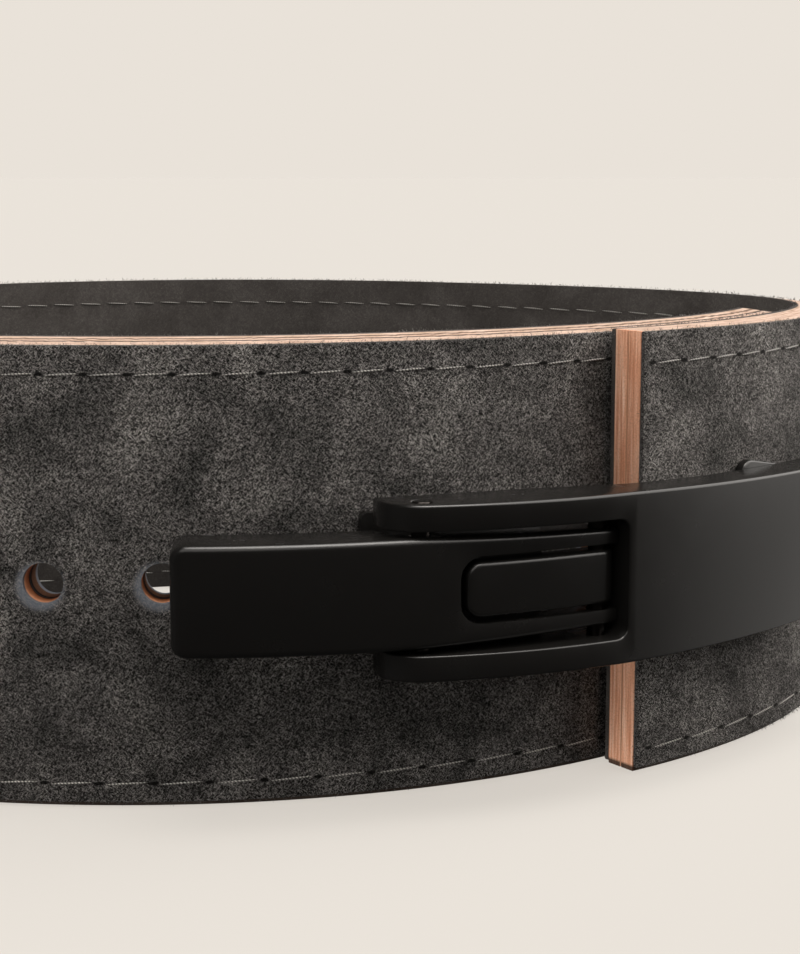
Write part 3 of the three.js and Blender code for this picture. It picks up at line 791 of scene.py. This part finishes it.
def buckle_frame():
    low, high = MID - FRAME_HEIGHT / 2, MID + FRAME_HEIGHT / 2
    body = block((FRAME_START, FRAME_END), (0, FRAME_DEPTH), (low, high))
    round_edges(
        body, FRAME_CORNER, 8, lambda middle, along: abs(along.y) > 0.9 and middle.x > FRAME_END - 1,
    )
    round_edges(
        body, FRAME_EDGE, 5,
        lambda middle, along: middle.y < -FRAME_DEPTH + 0.01 and middle.x > FRAME_START + 0.01,
    )
    slot_span = (MID - SLOT_HEIGHT / 2, MID + SLOT_HEIGHT / 2)
    slot = block((FRAME_START - PAST, SLOT_END), (-PAST, FRAME_DEPTH + PAST), slot_span)
    round_edges(
        slot, SLOT_CORNER, 6, lambda middle, along: abs(along.y) > 0.9 and middle.x > SLOT_END - 1,
    )
    body = cut(body, [slot])
    hollow = block(
        (SLOT_END + FRAME_WALL, FRAME_END - FRAME_WALL), (-PAST, FRAME_DEPTH - FRAME_WALL), slot_span,
    )
    # The arms' backs bend in q, so the hook pin's hole is cut through the whole depth
    pin_place = (HOOK_PIN_PLACE, FRAME_DEPTH * PIN_SHARE, MID)
    pin_hole = bar("up", pin_place, PIN_DIAMETER / 2 + PIN_PLAY, STRAP_HEIGHT)
    body = softened(cut(cut(body, [hollow]), [pin_hole]), BROKEN_EDGE, 3)
    slice_along(body, SLICE)

    def shape(q, out, z):
        back = frame_back(q)
        front = frame_front(q) - rounded_off(q - FRAME_START, ARM_NOSE)
        taper = 1 - 2 * FRAME_TAPER / FRAME_HEIGHT * np.clip((q - SLOT_END) / (FRAME_END - SLOT_END), 0, 1)
        return q, back + out * (front - back) / FRAME_DEPTH, MID + (z - MID) * taper

    return wrapped("buckle_frame", body, black, shape)


def buckle_lever():
    end = HINGE_PLACE + KNUCKLE_RADIUS
    body = block((LEVER_TIP, end), (0, LEVER_DEPTH), (MID - LEVER_HEIGHT / 2, MID + LEVER_HEIGHT / 2))
    round_edges(
        body, LEVER_CORNER, 8, lambda middle, along: abs(along.y) > 0.9 and middle.x < LEVER_TIP + 1,
    )
    round_edges(
        body, LEVER_EDGE, 5,
        lambda middle, along: middle.y < -LEVER_DEPTH + 0.01 and middle.x < end - 0.01,
    )
    start = HINGE_PLACE - TONGUE_LENGTH - GROOVE
    half = TONGUE_HEIGHT / 2 + GROOVE
    opening = block((start, end + PAST), (-PAST, LEVER_DEPTH + PAST), (MID - half, MID + half))
    round_edges(
        opening, TONGUE_CORNER + GROOVE, 8,
        lambda middle, along: abs(along.y) > 0.9 and middle.x < start + 1,
    )
    under = block((HINGE_PLACE, end + PAST), (-PAST, LEVER_DEPTH - 2 * KNUCKLE_RADIUS), (0, STRAP_HEIGHT))
    inside = LEVER_HEIGHT / 2 - LEVER_SIDE
    hollow = block(
        (LEVER_TIP + GRIP_WALL, start - LEVER_WEB), (-PAST, LEVER_DEPTH - LEVER_ROOF),
        (MID - inside, MID + inside),
    )
    roof = HOOK_PIN_OUT + PIN_HOLE_RADIUS - LEVER_FRONT + LEVER_DEPTH
    notch = block(
        (HOOK_PIN_PLACE - PIN_HOLE_RADIUS - CLEARANCE, HOOK_PIN_PLACE + PIN_HOLE_RADIUS + NOTCH_PLAY),
        (-PAST, roof), (0, STRAP_HEIGHT),
    )
    pin_hole = bar("up", (HINGE_PLACE, LEVER_DEPTH - KNUCKLE_RADIUS, MID), PIN_HOLE_RADIUS, STRAP_HEIGHT)
    for cutter in (opening, hollow, notch, under):
        body = cut(body, [cutter])
    round_edges(
        body, KNUCKLE_RADIUS - KNUCKLE_PLAY, 8,
        lambda middle, along: abs(along.z) > 0.9 and middle.x > end - 0.01,
    )
    body = softened(cut(body, [pin_hole]), BROKEN_EDGE, 3)
    slice_along(body, SLICE)

    def shape(q, out, z):
        share = np.clip((q - HOOK_PIN_PLACE) / (HINGE_PLACE - HOOK_PIN_PLACE), 0, 1)
        narrow = (LEVER_HEIGHT + (LEVER_HINGE_HEIGHT - LEVER_HEIGHT) * share) / LEVER_HEIGHT
        outer = smoothstep(abs(z - MID), TONGUE_HEIGHT / 2 + GROOVE, LEVER_HEIGHT / 2)
        scale = 1 + (narrow - 1) * outer
        return q, lever_front(q) - LEVER_DEPTH + out, MID + (z - MID) * scale

    return wrapped("buckle_lever", body, black, shape, body="lever")


def buckle_tongue():
    start, end = HINGE_PLACE - TONGUE_LENGTH, HINGE_PLACE + KNUCKLE_RADIUS
    half = TONGUE_HEIGHT / 2
    body = block((start, end), (0, 2 * KNUCKLE_RADIUS), (MID - half, MID + half))
    round_edges(
        body, TONGUE_CORNER, 8, lambda middle, along: abs(along.y) > 0.9 and middle.x < start + 1,
    )
    round_edges(
        body, KNUCKLE_RADIUS - KNUCKLE_PLAY, 8,
        lambda middle, along: abs(along.z) > 0.9 and middle.x > end - 0.01,
    )
    body = softened(body, TONGUE_EDGE, 4)
    slice_along(body, SLICE)

    def shape(q, out, z):
        return q, LEVER_FRONT - 2 * KNUCKLE_RADIUS + out, z

    return wrapped("buckle_tongue", body, black, shape)


def base_plate():
    end = PLATE_START + PLATE_LENGTH
    half = PLATE_HEIGHT / 2
    body = block((PLATE_START, end), (PLATE_BACK, PLATE_FRONT), (MID - half, MID + half))
    round_edges(body, PLATE_CORNER, 8, lambda middle, along: abs(along.y) > 0.9)
    body = softened(body, PLATE_EDGE, 3)
    slice_along(body, SLICE)

    def shape(q, out, z):
        along = (q - PLATE_START) / PLATE_LENGTH
        taper = 1 + (PLATE_END_HEIGHT / PLATE_HEIGHT - 1) * along
        return q, out, MID + (z - MID) * taper

    return wrapped("buckle_base_plate", body, black, shape)


def steel_pin(name, q, out, half):
    body = softened(bar("up", (q, out, MID), PIN_DIAMETER / 2, 2 * half), BROKEN_EDGE, 3)
    return wrapped(name, body, steel)


def merged_copy(node, name, width, material, body="belt"):
    """A CAD node's shape with its sharp edges broken."""
    piece = bmesh.new()
    piece.from_mesh(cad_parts[node].data)
    bmesh.ops.remove_doubles(piece, verts=piece.verts, dist=1e-6)
    bmesh.ops.dissolve_limit(piece, angle_limit=math.radians(1), verts=piece.verts, edges=piece.edges)
    piece = softened(piece, width * MM, 2)
    mesh = bpy.data.meshes.new(name)
    piece.to_mesh(mesh)
    piece.free()
    strap = mesh.attributes.new("strap", "FLOAT_VECTOR", "POINT")
    points = np.zeros(len(mesh.vertices) * 3)
    mesh.vertices.foreach_get("co", points)
    strap.data.foreach_set("vector", points / MM)
    mesh.shade_smooth()
    mesh.set_sharp_from_angle(angle=math.radians(35))
    mesh.materials.append(material)
    obj = bpy.data.objects.new(name, mesh)
    bpy.context.scene.collection.objects.link(obj)
    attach(obj, body)
    return obj


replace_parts(buckle_frame(), "frame")
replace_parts(buckle_lever(), "lever")
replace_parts(buckle_tongue(), "tongue")
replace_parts(base_plate(), "base_plate")
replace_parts(merged_copy("hook_plate", "buckle_hook_plate", 0.35, black), "hook_plate")
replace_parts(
    steel_pin("buckle_hook_pin", HOOK_PIN_PLACE, HOOK_PIN_OUT, FRAME_HEIGHT / 2 + PIN_PROUD), "hook_pin",
)
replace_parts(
    steel_pin("buckle_hinge_pin", HINGE_PLACE, HINGE_OUT, SLOT_HEIGHT / 2 + PIN_SEAT), "hinge_pin",
)
for number in (1, 2):
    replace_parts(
        merged_copy(f"mount_screw_{number}", f"buckle_screw_{number}", 0.25, steel),
        f"mount_screw_{number}",
    )


# Stitching

def stitch_row(row, out):
    """One row of stitches, each sunk into the suede at both ends."""
    stitches = []
    start, pitch = row["start"], row["pitch"]
    count = int((TIP - TIP_CORNER - start) / pitch)
    turn = Matrix.Rotation(math.pi / 2, 4, "Y")
    tilt = Matrix.Rotation(-STITCH_TILT, 4, "Y")
    for i in range(count):
        stitch = bmesh.new()
        middle = Matrix.Translation((start + pitch * (i + 0.5), -out, row["height"]))
        form = Matrix.Diagonal((pitch * STITCH_SHARE, THREAD_DEPTH, THREAD_HEIGHT, 1))
        bmesh.ops.create_uvsphere(
            stitch, u_segments=8, v_segments=10, radius=1, matrix=middle @ tilt @ form @ turn,
        )
        stitches.append(stitch)
    return join(stitches)


def stitch_shape(q, out, z):
    return q, out + lap_lift(q), z


for side, out in (("outer", STITCH_PROUD), ("inner", -STRAP_THICKNESS - STITCH_PROUD)):
    rows = join([stitch_row(TOP_STITCHES, out), stitch_row(LOWER_STITCHES, out)])
    wrapped("stitching_" + side, rows, thread, stitch_shape, smooth=60)


# Studio

def table_top():
    sheet = bmesh.new()
    bmesh.ops.create_grid(sheet, x_segments=8, y_segments=8, size=40)
    mesh = bpy.data.meshes.new("table_top")
    sheet.to_mesh(mesh)
    sheet.free()
    mesh.materials.append(table)
    obj = bpy.data.objects.new("table_top", mesh)
    bpy.context.scene.collection.objects.link(obj)
    # Black flags keep the table's own light off the belt
    obj.visible_diffuse = False
    obj.visible_glossy = False


def softbox(tree, direction, towards, edge, core, radiance):
    """A round soft light in the surroundings, from its edge and its core, both as angles in degrees."""
    aim = Vector(towards).normalized()
    along = add(tree, "ShaderNodeVectorMath", {0: direction, 1: aim}, operation="DOT_PRODUCT")
    return add(tree, "ShaderNodeMapRange", {
        "Value": along.outputs["Value"],
        "From Min": math.cos(math.radians(edge)), "From Max": math.cos(math.radians(core)),
        "To Min": 0.0, "To Max": radiance,
    }, interpolation_type="SMOOTHSTEP").outputs["Result"]


# Soft lights by direction, edge and core in degrees, and radiance. The keys hang overhead, in front and on
# the right, and the fills on the left and below are flagged off the metal.
KEYS = (
    ((0.1, -0.14, 1), 20, 11, 9.0),
    ((-0.1, -0.75, 0.8), 28, 14, 1.5),
    ((1, 0.1, 0.95), 50, 20, 3.5),
    ((1, 0.4, -0.1), 48, 10, 0.6),
)
FILLS = (
    ((-1, -0.2, -0.3), 52, 25, 2.4),
    ((-0.6, -0.5, -1), 75, 30, 0.1),
)
AMBIENT = 0.035


def studio_light():
    """Softboxes in a dark studio with a pale backdrop."""
    world = bpy.data.worlds.new("soft studio")
    bpy.context.scene.world = world
    world.use_nodes = True
    tree = world.node_tree
    tree.nodes.clear()
    direction = add(tree, "ShaderNodeTexCoord").outputs["Generated"]
    path = add(tree, "ShaderNodeLightPath")
    strength = 0.0
    for box in FILLS:
        filled = softbox(tree, direction, *box)
        strength = add(tree, "ShaderNodeMath", {0: filled, 1: strength}, operation="ADD").outputs[0]
    matte = add(tree, "ShaderNodeMath", {0: 1.0, 1: path.outputs["Is Glossy Ray"]}, operation="SUBTRACT")
    strength = add(tree, "ShaderNodeMath", {
        0: strength, 1: matte.outputs[0], 2: AMBIENT,
    }, operation="MULTIPLY_ADD").outputs[0]
    for box in KEYS:
        key = softbox(tree, direction, *box)
        strength = add(tree, "ShaderNodeMath", {0: key, 1: strength}, operation="ADD").outputs[0]
    light = add(tree, "ShaderNodeBackground", {"Color": colour("fffaf4"), "Strength": strength})
    backdrop = add(tree, "ShaderNodeBackground", {"Color": colour("e9e2d9"), "Strength": 1.0})
    mixed = add(tree, "ShaderNodeMixShader", {
        0: path.outputs["Is Camera Ray"], 1: light.outputs[0], 2: backdrop.outputs[0],
    })
    output = add(tree, "ShaderNodeOutputWorld")
    tree.links.new(mixed.outputs[0], output.inputs["Surface"])


table_top()
studio_light()
bpy.context.scene.view_settings.view_transform = "Standard"

# Camera: 135.9 mm above the floor and looking down 9 degrees, in front of the loop
camera_data = bpy.data.cameras.new("camera")
camera_data.sensor_width = SENSOR
camera_data.sensor_fit = "AUTO"
camera_data.lens = FOCAL_PIXELS / PHOTO_HEIGHT * SENSOR
camera = bpy.data.objects.new("camera", camera_data)
camera.location = (LOOP_MIDDLE[0] + CAMERA_ASIDE, LOOP_MIDDLE[1] - CAMERA_BACK, CAMERA_HEIGHT)
camera.rotation_euler = (math.radians(90 - CAMERA_PITCH), 0, 0)
bpy.context.scene.collection.objects.link(camera)
bpy.context.scene.camera = camera
